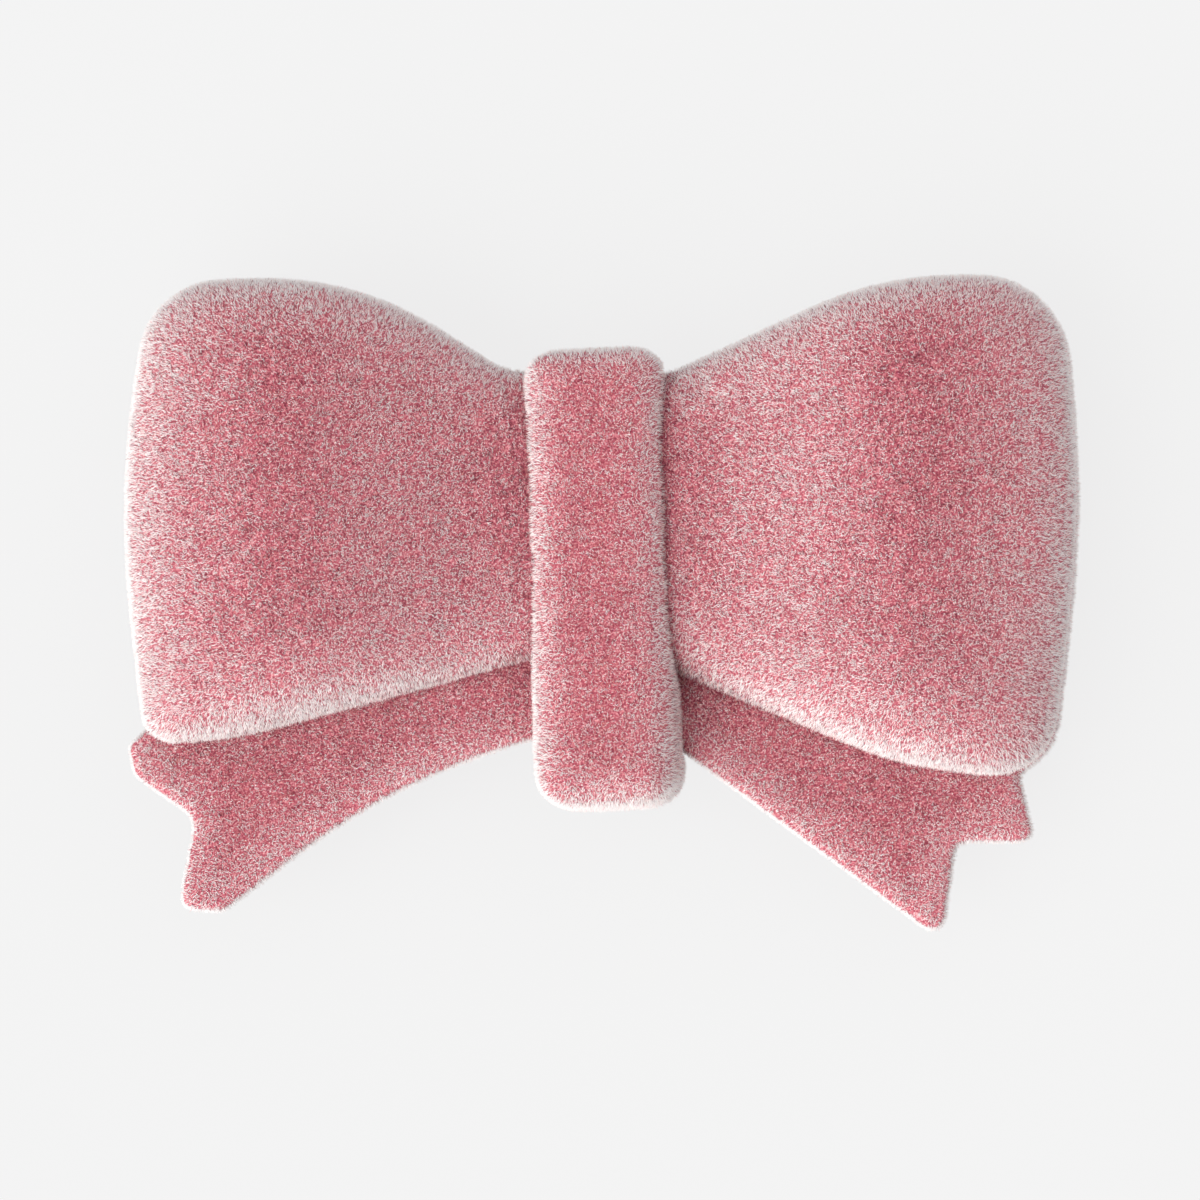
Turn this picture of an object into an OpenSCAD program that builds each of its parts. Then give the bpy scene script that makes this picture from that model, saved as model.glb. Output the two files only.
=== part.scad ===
// Hair barrette: a hollow flocked bow on an auto-clasp clip.
// It lies on its clip. +X runs along the clip, +Y runs up the bow, +Z points out of its front.
// Millimetres. The origin is under the middle of the bow, on the surface that the clip lies on.

/* [Bow] */
// Width of the finished bow across both lobes
bow_w = 97.1; // [90:0.2:118]
// Height of the finished bow, from the top of the lobes to the lowest tail tip
bow_h = 66.3; // [54:0.1:80]
// Height of the lobes above the back plate at their crests
crest_h = 11.4; // [9:0.1:16]
// Height of the waist above the back plate, under the knot band
waist_h = 5.2; // [4:0.01:7]
// Distance from the knot's middle at which the lobes reach their crests
crest_x = 33; // [22:1:38]
// How square the lobes' rims are: a higher value gives a tighter round
rim_power = 3.4; // [3:0.1:8]
// Wall of the hollow front shell
shell_wall = 1.6; // [1:0.1:2.4]
// Depth of the flock, which every finished outline includes
flock = 0.7; // [0.4:0.1:1]

/* [Back plate and tails] */
// Thickness of the back plate and of the tails
plate_t = 2.4; // [1.8:0.1:3.6]
// Height of the lip that centres the front shell on the back plate
lip_h = 1.4; // [0.8:0.1:2.4]
// Width of that lip
lip_w = 1.2; // [0.8:0.1:2]
// Radius of the posts that hold the clip
stake_r = 1.3; // [1:0.05:1.5]
// Radius of the posts' flattened heads
stake_head_r = 2.1; // [1.7:0.1:2.6]

/* [Knot band] */
// Finished width of the band
knot_w = 15.3; // [12:0.1:18]
// Height of the band's front above the waist that it wraps
knot_t = 2.6; // [2.5:0.1:5]
// How far the finished band stands past the top edge of the waist
knot_over = 1.7; // [1.6:0.1:3]
// How far the finished band hangs past the lower edge of the tails
knot_drop = 6.1; // [3:0.1:7]
// Lean of the band from upright, in degrees
knot_lean = 2.3; // [0:0.1:5]
// Wall of the band round its hollow lower end
knot_wall = 1.7; // [1:0.1:2.2]

/* [Clip] */
// Overall length of the clip
clip_l = 80; // [66:0.1:84]
// Width of the clip's base
clip_w = 9.6; // [8:0.1:12]
// Height of the closed clip, from its lowest point to the back plate
clip_h = 8.6; // [8.4:0.1:10.5]
// Height of the clip's middle line on the bow
clip_y = 4; // [0:0.5:8]
// Thickness of the base and its ears
base_t = 0.6; // [0.4:0.05:0.8]
// Depth of the base's turned-down edges, with its own thickness
edge_h = 1.3; // [0.9:0.1:1.6]
// Distance from each end of the base to its fixing hole
hole_in = 2.6; // [2.3:0.1:3.2]
// Distance from the fixing hole to the hinge pin
hinge_in = 4.6; // [4.4:0.1:6]

/* [Arm, bar and pin] */
// Thickness of the clasp arm
arm_t = 0.7; // [0.5:0.05:0.8]
// Width of the clasp arm along its middle
arm_w = 6.4; // [5.4:0.1:7.2]
// Rise of the clasp arm's arch
arm_rise = 1.6; // [0.8:0.1:1.9]
// Radius of the hinge pin
pin_r = 0.8; // [0.6:0.01:0.98]
// Outer radius of the arm's curl round the pin
curl_r = 1.5; // [1.3:0.05:1.6]
// Thickness of the tension bar
bar_t = 0.35; // [0.25:0.05:0.45]
// Width of the tension bar
bar_w = 4.6; // [3.6:0.1:5]
// Travel of the tension bar's free end before it meets the base
bar_travel = 1.3; // [0.8:0.1:1.5]

/* [Catch] */
// Thickness of the catch's bridge and legs
catch_t = 0.5; // [0.4:0.05:0.6]
// Width of the catch along the clip
catch_l = 4.2; // [3.4:0.1:5]
// Distance between the outer faces of the two legs
catch_w = 6.2; // [5.8:0.1:6.4]
// How far each barb stands out past its leg
barb = 0.7; // [0.5:0.05:0.8]
// Length of the leg that stands out past the arm for the fingers
grip_h = 2.3; // [1.8:0.1:2.8]
// Radius of the rivet that holds the catch to the base
rivet_r = 0.9; // [0.7:0.05:1.1]

/* [Hidden] */
$fn = 48;

// Clearances
fit = 0.15;         // between a moulding and what it drops over
press = 0.01;       // round a pressed pin or rivet
running = 0.05;     // round the pin, inside the arm's curl
hole_fit = 0.15;    // round the posts, in the base's holes
arm_gap = 0.3;      // between the arm and what it passes
bend_gap = 0.1;     // at the top of each leg, where the catch bends

// The outlines below are drawn for a bow of this finished width and height
drawn_w = 97.1;
drawn_h = 66.3;
sx = bow_w / drawn_w;
sy = bow_h / drawn_h;
sr = (sx + sy) / 2;

// Levels
base_z = clip_h - base_t;            // underside of the clip's base
plate_z = clip_h + plate_t;          // front of the back plate, where the shell starts
ear_r = pin_r + 1.2;
pin_z = ear_r;                       // the ears touch the surface that the clip lies on

// Places along the clip
stake_x = clip_l / 2 - hole_in;
pin_x = -stake_x + hinge_in;
catch_x = stake_x - 5.2;
bridge_l = catch_l + 1.2;
arm_end = catch_x + bridge_l / 2 + 2.5;
head_w = catch_w + 3.2;
window_l = bridge_l + 0.4;
window_w = catch_w + 0.2;
leg_top = base_z - catch_t - bend_gap;
ear_in = arm_w / 2 + arm_gap / 2;
keeper_x = pin_x + ear_r + 0.3;
keeper_l = 1.4;
bar_start = keeper_x - 0.5;
bar_end = catch_x - bridge_l / 2 - 2.4;
bar_slack = 0.12;                    // between the tension bar's held end and the base
bar_mid = (bar_start + bar_end) / 2;
// The bar's arch reaches down to just above the closed arm
bar_arch = base_z - bar_slack - bar_travel / 2 - bar_t - arm_low(bar_mid) - arm_t - arm_gap;

// Corners of the finished lobe outline, anticlockwise: x, y and the radius of the round
lobe_corners = [
    [45.9, -18.5, 6.8], [48.95, 9.5, 105], [46.8, 33.2, 9.2], [28.4, 33, 37],
    [6.6, 23.6, 6], [-9.4, 24.1, 5], [-24.6, 33.6, 34], [-46.5, 33.2, 8.6],
    [-49.2, 10, 88], [-46.1, -14.7, 3], [-36.5, -14, 40], [-6.1, -6, 4],
    [5.6, -6.5, 4], [30.2, -16.4, 30]];
waist_top = 24.1;                    // edges of the waist at the sides of the band
waist_low = -7.9;
hub = [0.3, 8];                      // every ring of the lobes shrinks towards this point

// Corners of the finished tails, anticlockwise
left_tail = [
    [2, 2, 0], [-40, -6, 0], [-48.7, -13.9, 1.2], [-47.8, -17.5, 1.5], [-41.6, -21.7, 1],
    [-43.3, -31.1, 1.8], [-37.9, -31.4, 2.2], [-21, -18.5, 68], [-5.3, -13.5, 0], [2, -13.5, 0]];
right_tail = [
    [-2, 2, 0], [-2, -13.5, 0], [5.9, -13.4, 0], [35, -34.4, 1.9], [36.3, -24.1, 0.5],
    [44.5, -24.1, 1.6], [42.6, -16.6, 0], [38.6, -6, 0]];
tail_low = -14.8;                    // lower edge of the tails beside the knot

// Middle of the knot band
knot_x = 0.8;
knot_y = 2.5;

rim_points = 120;                    // points round the shell's rim
outer_rings = 14;
inner_rings = 7;
arc_step = 12;                       // most degrees between the points of a rounded corner
arc_chord = 2.4;                     // most distance between them

// ---- Outlines ----

function sized(corners) = [for (c = corners) [c[0] * sx, c[1] * sy, c[2] * sr]];

function unit(v) = v / norm(v);

function cross2(a, b) = a[0] * b[1] - a[1] * b[0];

function at(list, i) = list[(i + len(list)) % len(list)];

// The corners of an outline turned inwards by d, with each radius changed to match
function inset(corners, d) = let (side = signed_area(corners) > 0 ? 1 : -1) [
    for (i = [0:len(corners) - 1])
        let (
            p = xy(corners[i]),
            before = unit(p - xy(at(corners, i - 1))),
            after = unit(xy(at(corners, i + 1)) - p),
            turn = cross2(before, after) * side,
            mitre = (left_of(before) + left_of(after)) * side,
            q = p + d * mitre * 2 / (mitre * mitre),
            r = corners[i][2])
        [q[0], q[1], r == 0 ? 0 : turn > 0 ? max(r - d, 0.3) : r + d]];

function xy(c) = [c[0], c[1]];

function left_of(v) = [-v[1], v[0]];

function signed_area(c) = total([for (i = [0:len(c) - 1]) cross2(xy(c[i]), xy(at(c, i + 1)))]);

function total(list, i = 0) = i < len(list) ? list[i] + total(list, i + 1) : 0;

// The points of an outline whose corners are rounded
function rounded(corners) = [
    for (i = [0:len(corners) - 1])
        let (
            p = xy(corners[i]),
            before = unit(p - xy(at(corners, i - 1))),
            after = unit(xy(at(corners, i + 1)) - p),
            turn = atan2(cross2(before, after), before * after),
            r = corners[i][2],
            back = r * tan(abs(turn) / 2),
            start = p - before * back,
            middle = start + left_of(before) * r * sign(turn),
            steps = r == 0 ? 0 : max(2, ceil(abs(turn) / arc_step),
                ceil(abs(turn) * PI / 180 * r / arc_chord)))
        for (k = [0:steps])
            steps == 0 ? p : middle + spun(start - middle, turn * k / steps)];

function spun(v, a) = [v[0] * cos(a) - v[1] * sin(a), v[0] * sin(a) + v[1] * cos(a)];

// The same outline as n points, evenly spaced along it
function evenly(points, n) = let (
    closed = concat(points, [points[0]]),
    run = running_total([for (i = [1:len(closed) - 1]) norm(closed[i] - closed[i - 1])]),
    xs = [for (i = [0:len(closed) - 1]) [run[i], closed[i][0]]],
    ys = [for (i = [0:len(closed) - 1]) [run[i], closed[i][1]]],
    whole = run[len(run) - 1])
    [for (i = [0:n - 1]) [lookup(whole * i / n, xs), lookup(whole * i / n, ys)]];

function running_total(steps) = [
    for (i = 0, s = 0; i <= len(steps); s = s + (i < len(steps) ? steps[i] : 0), i = i + 1) s];

// ---- Front shell ----

// Distance of a point from the knot band's middle line
function from_knot(p) = abs(spun(p - [knot_x * sx, knot_y * sy], -knot_lean)[0]);

function eased(v) = let (c = min(1, max(0, v))) c * c * (3 - 2 * c);

// Full height of the lobes over a point, before the rim rounds it off
function lobe_height(p) = waist_h + (crest_h - waist_h) *
    eased((from_knot(p) - knot_w / 2) / (crest_x - knot_w / 2));

// How much of that height is left at a share t of the way out from the hub to the rim
function round_off(t) = pow(max(0, 1 - pow(t, rim_power)), 1 / rim_power);

// Rings crowd towards the rim, where the surface turns fastest
function ring_share(k, rings) = 1 - pow(1 - k / rings, 2.1);

function dome_point(p, t, less) = let (q = hub_point + (p - hub_point) * t)
    [q[0], q[1], plate_z + (lobe_height(q) - less) * round_off(t)];

hub_point = [hub[0] * sx, hub[1] * sy];

// Points round the lobes at a depth d inside their finished outline
function lobe_ring(d) = evenly(rounded(inset(sized(lobe_corners), d)), rim_points);

// The shell's inner rim moved in by d, with every side kept parallel, so that a lip can't meet it
function rim_inside(d) = [
    for (c = inset([for (p = lobe_ring(flock + shell_wall)) [p[0], p[1], 0]], d)) xy(c)];

module front_shell() {
    n = rim_points;
    outer = lobe_ring(flock);
    inner = lobe_ring(flock + shell_wall);
    points = concat(
        [dome_point(hub_point, 0, 0)],
        [for (k = [1:outer_rings]) for (p = outer) dome_point(p, ring_share(k, outer_rings), 0)],
        [for (k = [inner_rings:-1:1]) for (p = inner)
            dome_point(p, ring_share(k, inner_rings), shell_wall)],
        [dome_point(hub_point, 0, shell_wall)]);
    rows = outer_rings + inner_rings;
    last = rows * n + 1;
    faces = concat(
        [for (i = [0:n - 1]) [0, 1 + (i + 1) % n, 1 + i]],
        [for (r = [0:rows - 2]) for (i = [0:n - 1])
            let (a = 1 + r * n + i, b = 1 + r * n + (i + 1) % n)
            for (f = [[a, b, b + n], [a, b + n, a + n]]) f],
        [for (i = [0:n - 1]) let (a = 1 + (rows - 1) * n) [a + i, a + (i + 1) % n, last]]);
    color("palevioletred") polyhedron(points, faces);
}

// ---- Back plate ----

module outline(corners, d) {
    polygon(rounded(inset(sized(corners), d)));
}

module stake(x) {
    head_h = 0.9;
    translate([x, clip_y, 0]) {
        translate([0, 0, base_z]) cylinder(r = stake_r, h = clip_h + 0.5 - base_z);
        translate([0, 0, base_z]) mirror([0, 0, 1]) rotate_extrude() dome(stake_head_r, head_h);
    }
}

// Half of a low dome's profile, standing on y = 0
module dome(r, h) {
    steps = 6;
    edge = 0.35;
    polygon(concat(
        [[0, 0], [r, 0]],
        [for (k = [0:steps]) let (a = 90 * k / steps) [r * cos(a), h * (edge + (1 - edge) * sin(a))]]));
}

module back_plate() {
    lip_gap = 3 * fit;
    color("palevioletred") {
        translate([0, 0, clip_h]) linear_extrude(plate_t) {
            outline(lobe_corners, flock);
            outline(left_tail, flock);
            outline(right_tail, flock);
        }
        translate([0, 0, plate_z]) linear_extrude(lip_h) difference() {
            polygon(rim_inside(lip_gap));
            polygon(rim_inside(lip_gap + lip_w));
        }
        stake(-stake_x);
        stake(stake_x);
    }
}

// ---- Knot band ----

band_low = tail_low * sy - knot_drop + flock;
band_high = waist_top * sy + knot_over - flock;
band_w = knot_w - 2 * flock;
band_z = plate_z + waist_h + knot_t;
band_in_low = tail_low * sy - fit;

// A rectangle from a to b, whose four corners have radius r
module rounded_box(a, b, r) {
    polygon(rounded([[a[0], a[1], r], [b[0], a[1], r], [b[0], b[1], r], [a[0], b[1], r]]));
}

// Side view of the space that the band wraps, y to the right and z upwards
module wrapped_space() {
    gap = 2 * fit;
    steps = 12;
    up = waist_top * sy - flock - hub_point[1] + gap;
    down = hub_point[1] - waist_low * sy - flock + gap;
    top = waist_h + gap;
    polygon(concat(
        [[hub_point[1] + up, clip_h - 1]],
        [for (k = [0:steps]) let (a = 90 * k / steps)
            [hub_point[1] + up * pow(cos(a), 2 / rim_power), plate_z + top * pow(sin(a), 2 / rim_power)]],
        [for (k = [steps - 1:-1:0]) let (a = 90 * k / steps)
            [hub_point[1] - down * pow(cos(a), 2 / rim_power),
                plate_z + max(fit, top * pow(sin(a), 2 / rim_power))]],
        [[band_in_low, plate_z + fit], [band_in_low, clip_h - 1]]));
}

module knot_band() {
    edge_r = 3.2;
    end_r = 3;
    low_r = 3.4;
    high_r = 3.2;
    half = band_w / 2;
    pocket_high = waist_low * sy - flock;
    color("palevioletred") translate([knot_x * sx, knot_y * sy, 0]) rotate(knot_lean)
        translate([0, -knot_y * sy, 0]) difference() {
            intersection() {
                rotate([90, 0, 90]) translate([0, 0, -half]) linear_extrude(band_w) difference() {
                    intersection() {
                        rounded_box([band_low, clip_h - 2 * end_r], [band_high, band_z], end_r);
                        translate([band_low, clip_h]) square([band_high - band_low, band_z]);
                    }
                    wrapped_space();
                }
                rotate([90, 0, 0]) translate([0, 0, -band_high]) linear_extrude(band_high - band_low)
                    rounded_box([-half, clip_h - 2 * edge_r], [half, band_z], edge_r);
                translate([0, 0, clip_h]) linear_extrude(band_z) polygon(rounded([
                    [-half, band_low, low_r], [half, band_low, low_r],
                    [half, band_high, high_r], [-half, band_high, high_r]]));
            }
            translate([0, 0, clip_h - 1]) linear_extrude(band_z - knot_wall - clip_h + 1)
                rounded_box([-half + knot_wall, band_low + knot_wall],
                    [half - knot_wall, pocket_high], low_r - knot_wall);
        }
}

// ---- Clip ----

// A flat outline seen along the clip's width, with x to the right and z upwards
module across(width) {
    rotate([90, 0, 0]) translate([0, 0, -width / 2]) linear_extrude(width) children();
}

module along_clip() {
    translate([0, clip_y, 0]) children();
}

module base_strip() {
    end_r = clip_w / 2;
    translate([0, 0, base_z]) linear_extrude(base_t) {
        square([clip_l - clip_w, clip_w], center = true);
        for (side = [-1, 1]) translate([side * (clip_l / 2 - end_r), 0]) circle(end_r);
    }
}

module base_edges() {
    left = pin_x + ear_r + 1;
    right = catch_x - bridge_l / 2 - 1;
    for (side = [-1, 1])
        translate([left, side * (clip_w - base_t) / 2 - base_t / 2, clip_h - edge_h])
            cube([right - left, base_t, edge_h]);
}

module ears() {
    for (side = [-1, 1])
        translate([0, side * (ear_in + base_t / 2), 0]) across(base_t) {
            translate([pin_x - ear_r, pin_z]) square([2 * ear_r, base_z - pin_z]);
            translate([pin_x, pin_z]) circle(ear_r);
        }
}

// Strap under the base that holds the tension bar's hinge end
module bar_keeper() {
    side_gap = 0.2;
    strap = 0.45;
    keeper_low = bar_low(keeper_x + keeper_l) - 0.1 - strap;
    outer = bar_w + 2 * side_gap + 2 * strap;
    difference() {
        translate([keeper_x, -outer / 2, keeper_low]) cube([keeper_l, outer, base_z - keeper_low]);
        translate([keeper_x - 1, -outer / 2 + strap, keeper_low + strap])
            cube([keeper_l + 2, outer - 2 * strap, base_z - keeper_low - strap]);
    }
}

module clip_base() {
    color("silver") along_clip() difference() {
        union() {
            base_strip();
            base_edges();
            ears();
            bar_keeper();
        }
        for (side = [-1, 1]) translate([side * stake_x, 0, base_z - 1])
            cylinder(r = stake_r + hole_fit, h = base_t + 2);
        translate([catch_x, 0, base_z - 1]) cylinder(r = rivet_r + press, h = base_t + 2);
        translate([pin_x, clip_w, pin_z]) rotate([90, 0, 0]) cylinder(r = pin_r + press, h = 2 * clip_w);
    }
}

module hinge_pin() {
    grip = ear_in + base_t;
    head_r = pin_r + 0.5;
    head_h = 0.4;
    color("gainsboro") along_clip() translate([pin_x, 0, pin_z]) rotate([90, 0, 0]) {
        cylinder(r = pin_r, h = 2 * grip, center = true);
        for (side = [0, 1]) mirror([0, 0, side]) translate([0, 0, grip])
            rotate_extrude() dome(head_r, head_h);
    }
}

// ---- Clasp arm ----

function arm_low(x) = let (s = (x - pin_x) / (arm_end - pin_x))
    (pin_z - curl_r) * (1 - s) + grip_h * s + 4 * arm_rise * s * (1 - s);

module arm_side() {
    steps = 20;
    xs = [for (k = [0:steps]) pin_x + (arm_end - pin_x) * k / steps];
    polygon(concat(
        [for (x = xs) [x, arm_low(x)]],
        [for (k = [steps:-1:0]) [xs[k], arm_low(xs[k]) + arm_t]]));
}

module arm_plan() {
    neck = catch_x - bridge_l / 2 - 6;
    shoulder = neck + 4;
    corner = 1.6;
    difference() {
        polygon(rounded([
            [pin_x - 1, -arm_w / 2, 0], [neck, -arm_w / 2, 3], [shoulder, -head_w / 2, 3],
            [arm_end, -head_w / 2, corner], [arm_end, head_w / 2, corner],
            [shoulder, head_w / 2, 3], [neck, arm_w / 2, 3], [pin_x - 1, arm_w / 2, 0]]));
        translate([catch_x - window_l / 2, -window_w / 2]) square([window_l, window_w]);
    }
}

module clasp_arm() {
    color("silver") along_clip() difference() {
        union() {
            intersection() {
                across(head_w) arm_side();
                linear_extrude(clip_h) arm_plan();
            }
            translate([pin_x, 0, pin_z]) rotate([90, 0, 0]) cylinder(r = curl_r, h = arm_w, center = true);
        }
        translate([pin_x, 0, pin_z]) rotate([90, 0, 0])
            cylinder(r = pin_r + running, h = 2 * arm_w, center = true);
    }
}

// ---- Tension bar ----

function bar_low(x) = let (s = (x - bar_start) / (bar_end - bar_start))
    base_z - bar_slack - bar_t - bar_travel * s - 4 * bar_arch * s * (1 - s);

module bar_side() {
    steps = 24;
    xs = [for (k = [0:steps]) bar_start + (bar_end - bar_start) * k / steps];
    polygon(concat(
        [for (x = xs) [x, bar_low(x)]],
        [for (k = [steps:-1:0]) [xs[k], bar_low(xs[k]) + bar_t]]));
}

module tension_bar() {
    color("lightgray") along_clip() intersection() {
        across(bar_w) bar_side();
        linear_extrude(clip_h) rounded_box(
            [bar_start, -bar_w / 2], [bar_end, bar_w / 2], 1);
    }
}

// ---- Catch ----

module catch_bridge() {
    color("silver") along_clip() difference() {
        translate([catch_x, 0, base_z - catch_t]) linear_extrude(catch_t)
            rounded_box([-bridge_l / 2, -catch_w / 2], [bridge_l / 2, catch_w / 2], 0.5);
        translate([catch_x, 0, base_z - 1]) cylinder(r = rivet_r + press, h = 2);
    }
}

// End view of the leg on the +y side: a strip with a barb that holds the arm, and a grip below it
module leg_end_view() {
    inside = catch_w / 2 - catch_t;
    outside = catch_w / 2;
    barb_z = grip_h - 0.15;
    polygon([
        [inside, leg_top], [inside, 0.3], [inside + 0.12, 0], [outside - 0.12, 0],
        [outside, 0.35], [outside + barb, barb_z - 0.45], [outside + barb, barb_z],
        [outside, barb_z], [outside, leg_top]]);
}

module catch_leg(side) {
    color("silver") along_clip() translate([catch_x, 0, 0]) mirror([0, side < 0 ? 1 : 0, 0])
        rotate([90, 0, 90]) translate([0, 0, -catch_l / 2]) linear_extrude(catch_l) leg_end_view();
}

module catch_leg_lower() {
    catch_leg(-1);
}

module catch_leg_upper() {
    catch_leg(1);
}

module catch_rivet() {
    head_h = 0.6;
    color("gainsboro") along_clip() translate([catch_x, 0, base_z - catch_t]) {
        cylinder(r = rivet_r, h = catch_t + base_t);
        mirror([0, 0, 1]) rotate_extrude() dome(rivet_r + 0.6, head_h);
    }
}

front_shell();
back_plate();
knot_band();
clip_base();
hinge_pin();
clasp_arm();
tension_bar();
catch_bridge();
catch_leg_lower();
catch_leg_upper();
catch_rivet();
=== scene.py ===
# A flocked bow barrette on its metal clip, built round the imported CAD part.
# The mouldings are copied from their CAD nodes, softened, and covered in flock fibres.
# The clip's parts keep their CAD shapes and get worn plated-metal materials.

import math

import bmesh
import bpy
import numpy as np
from mathutils import Matrix, Vector, noise
from mathutils.bvhtree import BVHTree


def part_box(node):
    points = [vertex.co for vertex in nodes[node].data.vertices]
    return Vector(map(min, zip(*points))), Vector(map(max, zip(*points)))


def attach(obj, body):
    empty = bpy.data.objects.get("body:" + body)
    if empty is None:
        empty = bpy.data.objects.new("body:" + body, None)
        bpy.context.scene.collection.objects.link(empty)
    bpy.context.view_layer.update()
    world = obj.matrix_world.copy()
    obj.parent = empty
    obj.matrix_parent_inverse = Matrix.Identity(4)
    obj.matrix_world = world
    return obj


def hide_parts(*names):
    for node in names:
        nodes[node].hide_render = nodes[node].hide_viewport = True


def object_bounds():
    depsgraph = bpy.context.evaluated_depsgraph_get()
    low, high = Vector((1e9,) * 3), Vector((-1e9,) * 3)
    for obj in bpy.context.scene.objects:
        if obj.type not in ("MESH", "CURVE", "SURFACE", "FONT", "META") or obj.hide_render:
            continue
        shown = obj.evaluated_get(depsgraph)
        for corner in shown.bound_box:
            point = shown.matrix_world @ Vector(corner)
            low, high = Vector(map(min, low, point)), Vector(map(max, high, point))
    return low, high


MM = 0.001

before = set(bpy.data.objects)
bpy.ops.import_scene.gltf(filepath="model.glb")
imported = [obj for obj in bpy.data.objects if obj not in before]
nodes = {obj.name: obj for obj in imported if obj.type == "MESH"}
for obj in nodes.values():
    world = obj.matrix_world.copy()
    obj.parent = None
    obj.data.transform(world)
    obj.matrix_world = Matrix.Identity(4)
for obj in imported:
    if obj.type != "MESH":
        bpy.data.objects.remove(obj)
cad_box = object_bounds()
scene = bpy.context.scene


# ---- Camera, floor and light ----

CAMERA_DISTANCE = 600 * MM
CAMERA_RIGHT = math.radians(8)     # the camera stands this far to the bow's right
CAMERA_BELOW = math.radians(5)     # and this far below its middle
CAMERA_ROLL = math.radians(0.55)
CAMERA_AIM = Vector((0.56, 0.05, 3.0)) * MM   # from the middle of the part's box
CAMERA_LENS = 180.6


def add_camera():
    data = bpy.data.cameras.new("camera")
    data.sensor_width = 36
    data.lens = CAMERA_LENS
    data.clip_start, data.clip_end = 0.01, 20
    camera = bpy.data.objects.new("camera", data)
    scene.collection.objects.link(camera)
    aim = (cad_box[0] + cad_box[1]) / 2 + CAMERA_AIM
    away = Vector((math.sin(CAMERA_RIGHT), -math.sin(CAMERA_BELOW), 1)).normalized()
    side = Vector((0, 1, 0)).cross(away).normalized()
    turned = Matrix((side, away.cross(side), away)).transposed()
    rolled = turned.to_4x4() @ Matrix.Rotation(CAMERA_ROLL, 4, "Z")
    camera.matrix_world = Matrix.Translation(aim + away * CAMERA_DISTANCE) @ rolled
    scene.camera = camera


def add_light(name, place, strength, spread, colour=(1, 1, 1)):
    """A distant soft box, seen from the part as spread degrees across."""
    data = bpy.data.lights.new(name, "SUN")
    data.energy = strength
    data.angle = math.radians(spread)
    data.color = colour
    light = bpy.data.objects.new(name, data)
    light.location = place
    light.rotation_mode = "QUATERNION"
    light.rotation_quaternion = (-Vector(place)).to_track_quat("-Z", "Y")
    scene.collection.objects.link(light)


def new_material(name):
    material = bpy.data.materials.new(name)
    material.use_nodes = True
    tree = material.node_tree
    tree.nodes.clear()
    return material, tree


def add_node(tree, kind, **settings):
    node = tree.nodes.new(kind)
    for key, value in settings.items():
        setattr(node, key, value)
    return node


FLOOR_TONE = 0.06
FLOOR_GLOW = 0.80      # the floor is lit from below too, so that shadows on it stay faint
WORLD_LIGHT = 0.85


def add_floor():
    bm = bmesh.new()
    bmesh.ops.create_grid(bm, x_segments=1, y_segments=1, size=3)
    mesh = bpy.data.meshes.new("floor")
    bm.to_mesh(mesh)
    bm.free()
    floor = bpy.data.objects.new("floor", mesh)
    scene.collection.objects.link(floor)
    material, tree = new_material("pale_floor")
    diffuse = add_node(tree, "ShaderNodeBsdfDiffuse")
    diffuse.inputs["Color"].default_value = (FLOOR_TONE, FLOOR_TONE, FLOOR_TONE, 1)
    glow = add_node(tree, "ShaderNodeEmission")
    glow.inputs["Color"].default_value = (1, 1, 1, 1)
    glow.inputs["Strength"].default_value = FLOOR_GLOW
    both = add_node(tree, "ShaderNodeAddShader")
    clear = add_node(tree, "ShaderNodeBsdfTransparent")
    side = add_node(tree, "ShaderNodeNewGeometry")
    pick = add_node(tree, "ShaderNodeMixShader")
    out = add_node(tree, "ShaderNodeOutputMaterial")
    tree.links.new(diffuse.outputs[0], both.inputs[0])
    tree.links.new(glow.outputs[0], both.inputs[1])
    tree.links.new(side.outputs["Backfacing"], pick.inputs[0])
    tree.links.new(both.outputs[0], pick.inputs[1])
    tree.links.new(clear.outputs[0], pick.inputs[2])
    tree.links.new(pick.outputs[0], out.inputs["Surface"])
    mesh.materials.append(material)


def add_world():
    world = bpy.data.worlds.new("studio")
    world.use_nodes = True
    background = world.node_tree.nodes["Background"]
    background.inputs["Color"].default_value = (1, 1, 1, 1)
    background.inputs["Strength"].default_value = WORLD_LIGHT
    scene.world = world


add_camera()
add_world()
add_floor()
scene.view_settings.view_transform = "Standard"
add_light("key", (-1.0, -0.95, 1.1), 3.7, 75)
add_light("fill", (0.9, 0.8, 0.9), 0.7, 80, (0.94, 0.95, 1.0))


# ---- Materials ----

def principled(tree, **values):
    shader = add_node(tree, "ShaderNodeBsdfPrincipled")
    for key, value in values.items():
        shader.inputs[key.replace("_", " ")].default_value = value
    out = add_node(tree, "ShaderNodeOutputMaterial")
    tree.links.new(shader.outputs[0], out.inputs["Surface"])
    return shader


def colour_ramp(tree, stops):
    node = add_node(tree, "ShaderNodeValToRGB")
    ramp = node.color_ramp
    while len(ramp.elements) < len(stops):
        ramp.elements.new(0.5)
    for element, (place, colour) in zip(ramp.elements, stops):
        element.position = place
        element.color = (*colour, 1)
    return node


def noise_at(tree, scale, detail=2.0, stretch=(1, 1, 1), roughness=0.5):
    """Noise by place on the part, scale features to a metre."""
    place = add_node(tree, "ShaderNodeTexCoord")
    mapping = add_node(tree, "ShaderNodeMapping")
    mapping.inputs["Scale"].default_value = stretch
    texture = add_node(tree, "ShaderNodeTexNoise")
    texture.inputs["Scale"].default_value = scale
    texture.inputs["Detail"].default_value = detail
    texture.inputs["Roughness"].default_value = roughness
    tree.links.new(place.outputs["Object"], mapping.inputs["Vector"])
    tree.links.new(mapping.outputs["Vector"], texture.inputs["Vector"])
    return texture.outputs["Fac"]


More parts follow.
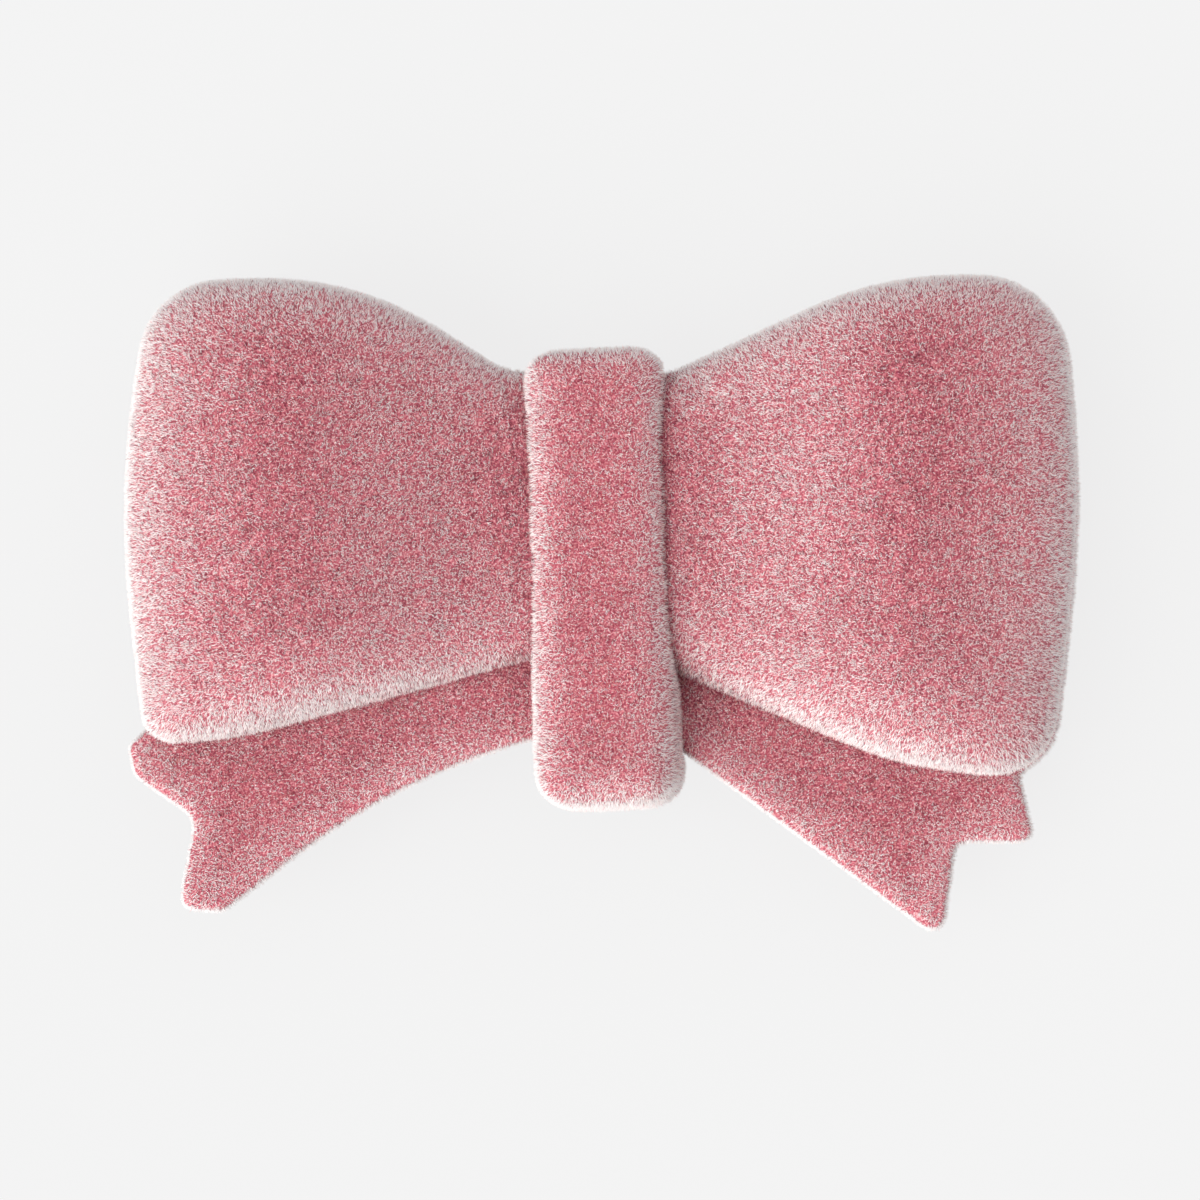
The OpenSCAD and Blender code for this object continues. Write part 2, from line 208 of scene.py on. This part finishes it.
def mapped(tree, value, low, high, from_low=0.3, from_high=0.7):
    node = add_node(tree, "ShaderNodeMapRange")
    node.inputs["From Min"].default_value = from_low
    node.inputs["From Max"].default_value = from_high
    node.inputs["To Min"].default_value = low
    node.inputs["To Max"].default_value = high
    tree.links.new(value, node.inputs["Value"])
    return node.outputs["Result"]


def bump(tree, value, shader, distance, strength=1.0):
    node = add_node(tree, "ShaderNodeBump")
    node.inputs["Distance"].default_value = distance
    node.inputs["Strength"].default_value = strength
    tree.links.new(value, node.inputs["Height"])
    tree.links.new(node.outputs["Normal"], shader.inputs["Normal"])


def flock_bed():
    """The dyed adhesive and fibre roots between the fibres."""
    material, tree = new_material("flock_bed")
    shader = principled(tree, Roughness=0.95)
    shader.inputs["Sheen Weight"].default_value = 0.15
    shader.inputs["Sheen Roughness"].default_value = 0.5
    shader.inputs["Sheen Tint"].default_value = (1, 0.75, 0.76, 1)
    ramp = colour_ramp(tree, [(0.3, (0.22, 0.02, 0.05)), (0.5, (0.46, 0.10, 0.13)),
                              (0.7, (0.78, 0.40, 0.41))])
    grain = noise_at(tree, 5200, 3.0)
    tree.links.new(grain, ramp.inputs["Fac"])
    tree.links.new(ramp.outputs["Color"], shader.inputs["Base Color"])
    bump(tree, grain, shader, 0.2 * MM)
    return material


FIBRE_MAP = "OFBake"   # across: a fibre's shade, up: root to tip


def flock_fibre():
    """Each fibre's shade comes across its map; up it, a painted shade darkens the root and a painted
    sheen pales the tip.
    """
    material, tree = new_material("flock_fibre")
    shader = principled(tree, Roughness=0.7)
    shader.inputs["Sheen Weight"].default_value = 0.35
    shader.inputs["Sheen Roughness"].default_value = 0.45
    shader.inputs["Sheen Tint"].default_value = (1, 0.93, 0.93, 1)
    at = add_node(tree, "ShaderNodeUVMap", uv_map=FIBRE_MAP)
    parts = add_node(tree, "ShaderNodeSeparateXYZ")
    tree.links.new(at.outputs["UV"], parts.inputs[0])
    shade = colour_ramp(tree, [
        (0.00, (0.17, 0.01, 0.035)), (0.18, (0.55, 0.05, 0.10)), (0.34, (0.80, 0.21, 0.24)),
        (0.48, (0.90, 0.38, 0.30)), (0.58, (0.72, 0.30, 0.44)), (0.70, (0.94, 0.62, 0.60)),
        (0.85, (0.98, 0.87, 0.83)), (1.00, (1.0, 0.98, 0.97))])
    # Painted shade: the fibre is darker toward its root, standing in for the shadow deep in the pile
    root = colour_ramp(tree, [
        (0.0, (0.34, 0.27, 0.29)), (0.35, (0.76, 0.71, 0.73)), (0.7, (1, 1, 1))])
    # Painted sheen: the upper fibre is mixed toward pale pink
    tip = add_node(tree, "ShaderNodeMix", data_type="RGBA")
    tip.inputs[7].default_value = (0.93, 0.74, 0.72, 1)
    darker = add_node(tree, "ShaderNodeMix", data_type="RGBA", blend_type="MULTIPLY")
    darker.inputs[0].default_value = 1
    tree.links.new(parts.outputs[0], shade.inputs["Fac"])
    tree.links.new(parts.outputs[1], root.inputs["Fac"])
    tree.links.new(mapped(tree, parts.outputs[1], 0, 0.15, 0.45, 1.0), tip.inputs[0])
    tree.links.new(shade.outputs["Color"], darker.inputs[6])
    tree.links.new(root.outputs["Color"], darker.inputs[7])
    tree.links.new(darker.outputs[2], tip.inputs[6])
    tree.links.new(tip.outputs[2], shader.inputs["Base Color"])
    return material


def plated_metal(name, colour, rough, grain_scale, stretch):
    """Nickel plate over stamped steel: fine lines along the strip, and duller handled patches."""
    material, tree = new_material(name)
    shader = principled(tree, Metallic=1.0)
    dull = noise_at(tree, 260, 4.0)
    lines = noise_at(tree, grain_scale, 3.0, stretch, 0.7)
    dark = tuple(c * 0.72 for c in colour)
    light = tuple(min(1, c * 1.12) for c in colour)
    ramp = colour_ramp(tree, [(0.32, dark), (0.5, colour), (0.75, light)])
    tree.links.new(dull, ramp.inputs["Fac"])
    tree.links.new(ramp.outputs["Color"], shader.inputs["Base Color"])
    both = add_node(tree, "ShaderNodeMath", operation="ADD")
    tree.links.new(mapped(tree, dull, rough * 0.6, rough * 1.3), both.inputs[0])
    tree.links.new(mapped(tree, lines, -0.05, 0.08), both.inputs[1])
    tree.links.new(both.outputs[0], shader.inputs["Roughness"])
    bump(tree, lines, shader, 0.02 * MM, 0.6)
    return material


def moulded_plastic():
    """Bare rose plastic of the posts, shiny and rippled where they were melted flat."""
    material, tree = new_material("moulded_plastic")
    shader = principled(tree, Roughness=0.38)
    shader.inputs["IOR"].default_value = 1.5
    ripple = noise_at(tree, 900, 3.0)
    ramp = colour_ramp(tree, [(0.3, (0.50, 0.14, 0.17)), (0.7, (0.64, 0.25, 0.27))])
    tree.links.new(ripple, ramp.inputs["Fac"])
    tree.links.new(ramp.outputs["Color"], shader.inputs["Base Color"])
    tree.links.new(mapped(tree, ripple, 0.28, 0.5), shader.inputs["Roughness"])
    bump(tree, ripple, shader, 0.15 * MM)
    return material


BED = flock_bed()
FIBRE = flock_fibre()
NICKEL = plated_metal("nickel_plate", (0.68, 0.66, 0.62), 0.26, 60, (40, 900, 900))
BRIGHT = plated_metal("bright_nickel", (0.78, 0.76, 0.72), 0.16, 300, (1, 1, 1))
SPRING = plated_metal("spring_steel", (0.52, 0.53, 0.55), 0.22, 60, (30, 1200, 1200))
PLASTIC = moulded_plastic()


# ---- Moulded skins ----

VOXEL = 0.45 * MM
WELD = 0.002 * MM         # corners of a CAD mesh nearer than this are one corner
JUST_OVER = 0.01 * MM     # keeps a cut clear of the face that it runs along


def link(name, mesh):
    obj = bpy.data.objects.new(name, mesh)
    scene.collection.objects.link(obj)
    return obj


def welded(node, keep_above=None):
    """A copy of a CAD node's mesh with its vertices joined, cut off below a level if one is given."""
    bm = bmesh.new()
    bm.from_mesh(nodes[node].data)
    bmesh.ops.remove_doubles(bm, verts=bm.verts, dist=WELD)
    if keep_above is not None:
        cut = bmesh.ops.bisect_plane(
            bm, geom=bm.verts[:] + bm.edges[:] + bm.faces[:], plane_co=(0, 0, keep_above),
            plane_no=(0, 0, 1), clear_inner=True)
        edges = [e for e in cut["geom_cut"] if isinstance(e, bmesh.types.BMEdge)]
        bmesh.ops.holes_fill(bm, edges=edges)
    mesh = bpy.data.meshes.new(node)
    bm.to_mesh(mesh)
    bm.free()
    return mesh


def softened(name, mesh, voxel, smooth):
    """The mesh rebuilt in even small faces and smoothed, as a thick coat rounds a moulding's edges."""
    obj = link(name, mesh)
    remesh = obj.modifiers.new("remesh", "REMESH")
    remesh.mode = "VOXEL"
    remesh.voxel_size = voxel
    remesh.use_smooth_shade = True
    soften = obj.modifiers.new("soften", "SMOOTH")
    soften.factor = 0.5
    soften.iterations = smooth
    even = bpy.data.meshes.new_from_object(obj.evaluated_get(bpy.context.evaluated_depsgraph_get()))
    obj.modifiers.clear()
    obj.data = even
    even.name = name
    even.polygons.foreach_set("use_smooth", [True] * len(even.polygons))
    return obj


plate_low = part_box("clip_base")[1].z
shell_skin = softened("shell_skin", welded("front_shell"), VOXEL, 16)
plate_skin = softened("plate_skin", welded("back_plate", plate_low + JUST_OVER), VOXEL, 14)
band_skin = softened("band_skin", welded("knot_band"), VOXEL * 0.8, 42)
for skin, node, slot in ((shell_skin, "front_shell", "flocked_shell"),
                         (plate_skin, "back_plate", "flocked_plate"),
                         (band_skin, "knot_band", "flocked_band")):
    skin.data.materials.clear()
    skin.data.materials.append(BED)
    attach(skin, "bow")
    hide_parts(node)


# ---- Flock ----

FIBRES_A_PIECE = 62000      # most fibres in one piece
FIBRES_PER_MM2 = 32
SEED = 31
rng = np.random.default_rng(SEED)
noise.seed_set(SEED)        # left alone, noise_vector takes its offsets from the clock


def arrays(obj):
    """Corner places, triangles and vertex normals of an object at the origin."""
    mesh = obj.data
    mesh.calc_loop_triangles()
    co = np.empty(len(mesh.vertices) * 3)
    mesh.vertices.foreach_get("co", co)
    normal = np.empty(len(mesh.vertices) * 3)
    mesh.vertices.foreach_get("normal", normal)
    tri = np.empty(len(mesh.loop_triangles) * 3, np.int32)
    mesh.loop_triangles.foreach_get("vertices", tri)
    return co.reshape(-1, 3), tri.reshape(-1, 3), normal.reshape(-1, 3)


def evened(obj, field, rounds):
    """Rows of values at an object's vertices, evened out along its edges."""
    mesh = obj.data
    edge = np.empty(len(mesh.edges) * 2, np.int32)
    mesh.edges.foreach_get("vertices", edge)
    a, b = edge.reshape(-1, 2).T
    size = len(field)
    neighbours = np.bincount(a, minlength=size) + np.bincount(b, minlength=size)
    for _ in range(rounds):
        near = [np.bincount(a, column[b], size) + np.bincount(b, column[a], size)
                for column in field.T]
        field = (field + np.array(near).T / neighbours[:, None]) / 2
    return field


def tree_of(objs):
    """One search tree over several objects."""
    points, faces, start = [], [], 0
    for obj in objs:
        co, tri, _ = arrays(obj)
        points.extend(map(tuple, co))
        faces.extend(map(tuple, tri + start))
        start += len(co)
    return BVHTree.FromPolygons(points, faces)


def unit_rows(v):
    return v / np.maximum(np.linalg.norm(v, axis=1, keepdims=True), 1e-12)


def across(normals):
    """Two directions at right angles to each normal."""
    other = np.where(np.abs(normals[:, 2:3]) < 0.9, [[0.0, 0.0, 1.0]], [[1.0, 0.0, 0.0]])
    a = unit_rows(np.cross(normals, other))
    return a, np.cross(normals, a)


RAYS = 9                  # one straight out, the others round it
RAY_LEAN = 1.1            # how far those lean outwards
RAY_START = 0.12 * MM
OPEN_REACH = 40 * MM


def openness(co, normal, tree):
    """Share of the directions round each normal that meet nothing nearby."""
    a, b = across(normal)
    count = np.zeros(len(co))
    for k in range(RAYS):
        lean = 0 if k == 0 else RAY_LEAN
        turn = 2 * math.pi * k / (RAYS - 1)
        ray = unit_rows(normal + lean * (a * math.cos(turn) + b * math.sin(turn)))
        start = co + normal * RAY_START
        for i, (p, d) in enumerate(zip(start, ray)):
            if tree.ray_cast(p, d, OPEN_REACH)[0] is None:
                count[i] += 1
    return count / RAYS


def wander(points, scale, seed):
    """Smooth random vectors by place."""
    shift = Vector((seed * 7.1, seed * 3.3, seed * 5.7))
    return np.array([noise.noise_vector(Vector(p) / scale + shift) for p in points])


def scatter(co, tri, normal, opened, per_mm2):
    """Random roots, by area, over the faces that are open to the air."""
    p = co[tri]
    area = np.linalg.norm(np.cross(p[:, 1] - p[:, 0], p[:, 2] - p[:, 0]), axis=1) / 2
    area[opened[tri].min(1) < SHUT_IN] = 0
    area[normal[tri, 2].mean(1) < BACKWARDS] *= BACK_SHARE
    total = area.cumsum()
    count = int(total[-1] / MM**2 * per_mm2)
    face = np.searchsorted(total, rng.random(count) * total[-1])
    u, v = rng.random((2, count))
    over = u + v > 1
    u[over], v[over] = 1 - u[over], 1 - v[over]
    w = np.stack([1 - u - v, u, v], 1)[:, :, None]
    return tri[face], w


FLOCK_LENGTH = 0.5 * MM
FLOCK_RADIUS = 0.05 * MM
FLOCK_NORMAL = 0.45   # how far a fibre takes its shading from the coat, which light goes through
LEAN = 0.8
# Painted sheen: the flock is painted paler where the coat turns away from the sheen axis, as velvet
# pales where it rolls over.
PALE_MOST = 0.95     # at the sides
PALE_FROM = 0.04     # tilt, as a share of a right angle, at which the fading starts
PALE_TILT = 0.13     # and how much further most of it has happened
SHEEN_AXIS = unit_rows(np.array([[0.02, 0.12, 1.0]]))[0]   # painted sheen is measured from this axis, tipped a little up so that faces turned upwards stay darker, as under light from below
OPEN_ENOUGH = 1.25   # openness above 1 / 1.25 counts as full
CREASE_SHADE = 0.3        # painted shade: how much darker the flock is painted where little air is open, in creases and hollows
SHUT_IN = 0.2        # no flock grows where less than this share of the air is open
BACKWARDS = -0.6     # a face points backwards when its normal falls below this
BACK_SHARE = 0.4     # how dense the flock is there
COMB_SIZE = 2.2 * MM      # over what distance the lie of the flock changes
COMB_LEAN = 0.35
TONE_SIZE = 5 * MM        # over what distance its tone drifts
TONE_DRIFT = 0.10
PROBE_START = 0.05 * MM   # a fibre looks for a neighbour from this far above its root
PROBE_SPARE = 0.03 * MM   # and stays this far from it
SUNK = 0.06 * MM          # depth of a fibre's root in the skin
EVEN_NORMALS = 12    # rounds of evening for the direction of the coat
CLUMP = 0.34 * MM    # fibres this near each other stick together and look alike
CLUMP_SHADE = 0.15
SIDEWAYS = 0.8       # a coat counts as facing sideways while its normal rises less than this
JOINT_BARE = 0.22 * MM    # no flock grows this near the joint of shell and plate
JOINT_RUBBED = 1.5 * MM   # and up to here it was rubbed short when they were joined
BLOCKED = 0.15     # shortest share of its length that a fibre may be pressed down to


def tilt_of(normal):
    """How far each normal turns away from the sheen axis, front or back, as a share of a right angle."""
    return np.arccos(np.abs(normal @ SHEEN_AXIS).clip(0, 1)) / (math.pi / 2)


def painted_sheen(tilt, opened):
    """Painted sheen: how far the flock is painted toward its pale ends as the surface rolls over, less
    where the air is closed in.
    """
    faded = 1 - np.exp(-((tilt - PALE_FROM).clip(0) / PALE_TILT) ** 1.3)
    return PALE_MOST * faded * opened.clip(0, 1)


def grow(skin, tree, per_mm2, tone, reach, at_joint):
    """Roots, tips and shades of the fibres on one skin."""
    co, tri, normal = arrays(skin)
    opened = openness(co, normal, tree)
    at, w = scatter(co, tri, normal, opened, per_mm2)
    root = (co[at] * w).sum(1)
    up = unit_rows((unit_rows(evened(skin, normal, EVEN_NORMALS))[at] * w).sum(1))
    near = evened(skin, np.stack([tilt_of(normal), opened], 1), EVEN_NORMALS)
    far = evened(skin, near, reach)
    near, far = (near[at] * w).sum(1), (far[at] * w).sum(1)
    tilt, air = np.maximum(near[:, 0], far[:, 0]), near[:, 1]
    count = len(root)
    a, b = across(up)
    turn = rng.random(count) * 2 * math.pi
    lean = LEAN * np.sqrt(rng.random(count))
    loose = (a * np.cos(turn)[:, None] + b * np.sin(turn)[:, None]) * lean[:, None]
    combed = wander(root, COMB_SIZE, 1) * COMB_LEAN
    way = unit_rows(up + loose + combed - up * (combed * up).sum(1, keepdims=True))
    length = FLOCK_LENGTH * rng.normal(1, 0.13, count).clip(0.6, 1.3)
    from_joint = np.where(np.abs(up[:, 2]) < SIDEWAYS, np.abs(root[:, 2] - parting), 1)
    length[from_joint < JOINT_RUBBED] *= at_joint
    keep = from_joint > JOINT_BARE
    for i in np.flatnonzero(keep):
        hit = tree.ray_cast(root[i] + up[i] * PROBE_START, way[i], length[i] * 1.2)
        if hit[0] is not None:
            share = (hit[3] - PROBE_SPARE) / length[i]
            length[i] *= min(1, max(share, 0))
            keep[i] = share > BLOCKED
    shade = rng.beta(0.32, 0.72, count) + wander(root, TONE_SIZE, 2)[:, 0] * TONE_DRIFT + tone
    shade += wander(root, CLUMP, 3)[:, 0] * CLUMP_SHADE
    pale = painted_sheen(tilt, OPEN_ENOUGH * air)
    sheen_painted = rng.random(count) < pale          # painted sheen: a fibre is painted pale with this chance, otherwise it keeps its own shade
    shade = np.where(sheen_painted, rng.normal(0.95, 0.08, count), shade)
    # Painted shade: flock darkened where the air is closed in, as in a crease
    shade -= CREASE_SHADE * (1 - OPEN_ENOUGH * air).clip(0, 1)
    shade = shade.clip(0.02, 0.98)
    return root[keep], up[keep], way[keep], length[keep], shade[keep]


def fibre_mesh(name, root, up, way, length, shade):
    """Three-sided spikes, sunk a little into the skin, with their map."""
    count = len(root)
    a, b = across(way)
    spin = rng.random(count) * 2 * math.pi
    thick = FLOCK_RADIUS * rng.normal(1, 0.15, count).clip(0.6, 1.5)
    verts = np.empty((count, 4, 3))
    for k in range(3):
        turn = spin + k * 2 * math.pi / 3
        ring = a * np.cos(turn)[:, None] + b * np.sin(turn)[:, None]
        verts[:, k] = root - up * SUNK + ring * thick[:, None]
    verts[:, 3] = root + way * length[:, None]
    out = verts - root[:, None]
    facing = out - way[:, None] * (out * way[:, None]).sum(2, keepdims=True)
    facing[:, 3] = way * thick[:, None]
    facing = facing / thick[:, None, None] * (1 - FLOCK_NORMAL) + up[:, None] * FLOCK_NORMAL
    first = np.arange(count)[:, None] * 4
    loops = (first + np.array([[0, 1, 3, 1, 2, 3, 2, 0, 3]])).ravel()
    mesh = bpy.data.meshes.new(name)
    mesh.vertices.add(count * 4)
    mesh.vertices.foreach_set("co", verts.astype(np.float32).ravel())
    mesh.loops.add(count * 9)
    mesh.loops.foreach_set("vertex_index", loops.astype(np.int32))
    mesh.polygons.add(count * 3)
    mesh.polygons.foreach_set("loop_start", np.arange(count * 3, dtype=np.int32) * 3)
    mesh.polygons.foreach_set("use_smooth", np.ones(count * 3, bool))
    mesh.update(calc_edges=True)
    uv = np.empty((count, 4, 2))
    for k in range(3):
        uv[:, k, 0] = shade + (k - 1) * 0.006
        uv[:, k, 1] = 0.02
    uv[:, 3, 0] = shade
    uv[:, 3, 1] = 0.98
    layer = mesh.uv_layers.new(name=FIBRE_MAP)
    layer.uv.foreach_set("vector", uv.reshape(-1, 2)[loops].astype(np.float32).ravel())
    mesh.normals_split_custom_set_from_vertices(unit_rows(facing.reshape(-1, 3)).astype(np.float32))
    mesh.materials.append(FIBRE)
    return link(name, mesh)


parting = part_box("front_shell")[0].z
everything = tree_of([shell_skin, plate_skin, band_skin, nodes["clip_base"]])
for skin, name, slot, tone, reach, at_joint in (
        (shell_skin, "shell_flock", "flocked_shell", -0.12, 150, 0.4),
        (plate_skin, "plate_flock", "flocked_plate", 0.06, 70, 0.8),
        (band_skin, "band_flock", "flocked_band", 0.14, 60, 1)):
    fibres = grow(skin, everything, FIBRES_PER_MM2, tone, reach, at_joint)
    parts = math.ceil(len(fibres[0]) / FIBRES_A_PIECE)
    order = np.argsort(fibres[0][:, 0], kind="stable")
    for k, chosen in enumerate(np.array_split(order, parts)):
        piece = fibre_mesh(f"{name}_{k + 1}", *(f[chosen] for f in fibres))
        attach(piece, "bow")


# ---- Clip ----

METALS = {
    "clip_base": NICKEL, "clasp_arm": NICKEL, "tension_bar": SPRING, "hinge_pin": BRIGHT,
    "catch_bridge": NICKEL, "catch_leg_lower": NICKEL, "catch_leg_upper": NICKEL,
    "catch_rivet": BRIGHT,
}
for name, metal in METALS.items():
    mesh = nodes[name].data
    mesh.materials.clear()
    mesh.materials.append(metal)


def post_head(name, place, radius, height):
    """A post's end, melted into a low button with an uneven rim."""
    around, rings = 40, 9
    bm = bmesh.new()
    rows = []
    for r in range(rings):
        angle = r / (rings - 1) * math.pi / 2
        row = []
        for k in range(around):
            turn = 2 * math.pi * k / around
            spot = Vector((math.cos(turn), math.sin(turn), r * 0.4)) * 1.3 + place / MM
            wobble = 1 + 0.035 * noise.noise(spot)
            out = radius * math.cos(angle) ** 0.8 * wobble
            drop = height * (0.35 + 0.65 * math.sin(angle)) * (1 + 0.06 * noise.noise(spot * 1.7))
            row.append(bm.verts.new(place + Vector((math.cos(turn) * out, math.sin(turn) * out, -drop))))
        rows.append(row)
    top = [bm.verts.new(v.co + Vector((0, 0, place.z - v.co.z))) for v in rows[0]]
    rows.insert(0, top)
    for low, high in zip(rows, rows[1:]):
        for k in range(around):
            n = (k + 1) % around
            bm.faces.new((low[k], low[n], high[n], high[k]))
    bmesh.ops.remove_doubles(bm, verts=bm.verts, dist=0.01 * MM)
    bmesh.ops.holes_fill(bm, edges=bm.edges)
    bmesh.ops.recalc_face_normals(bm, faces=bm.faces)
    for face in bm.faces:
        face.smooth = True
    mesh = bpy.data.meshes.new(name)
    bm.to_mesh(mesh)
    bm.free()
    mesh.materials.append(PLASTIC)
    piece = link(name, mesh)
    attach(piece, "bow")


BASE_STEEL = 0.6 * MM     # thickness of the clip's base
POST_FROM_END = 2.6 * MM  # from the end of the base to a post's middle
HEAD_RADIUS = 2.1 * MM

base_lo, base_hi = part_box("clip_base")
plate_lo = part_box("back_plate")[0]
base_under = base_hi.z - BASE_STEEL
for name, side in (("post_hinge_end", -1), ("post_catch_end", 1)):
    middle = Vector((side * (base_hi.x - POST_FROM_END), (base_lo.y + base_hi.y) / 2, base_under))
    post_head(name, middle, HEAD_RADIUS, base_under - plate_lo.z)
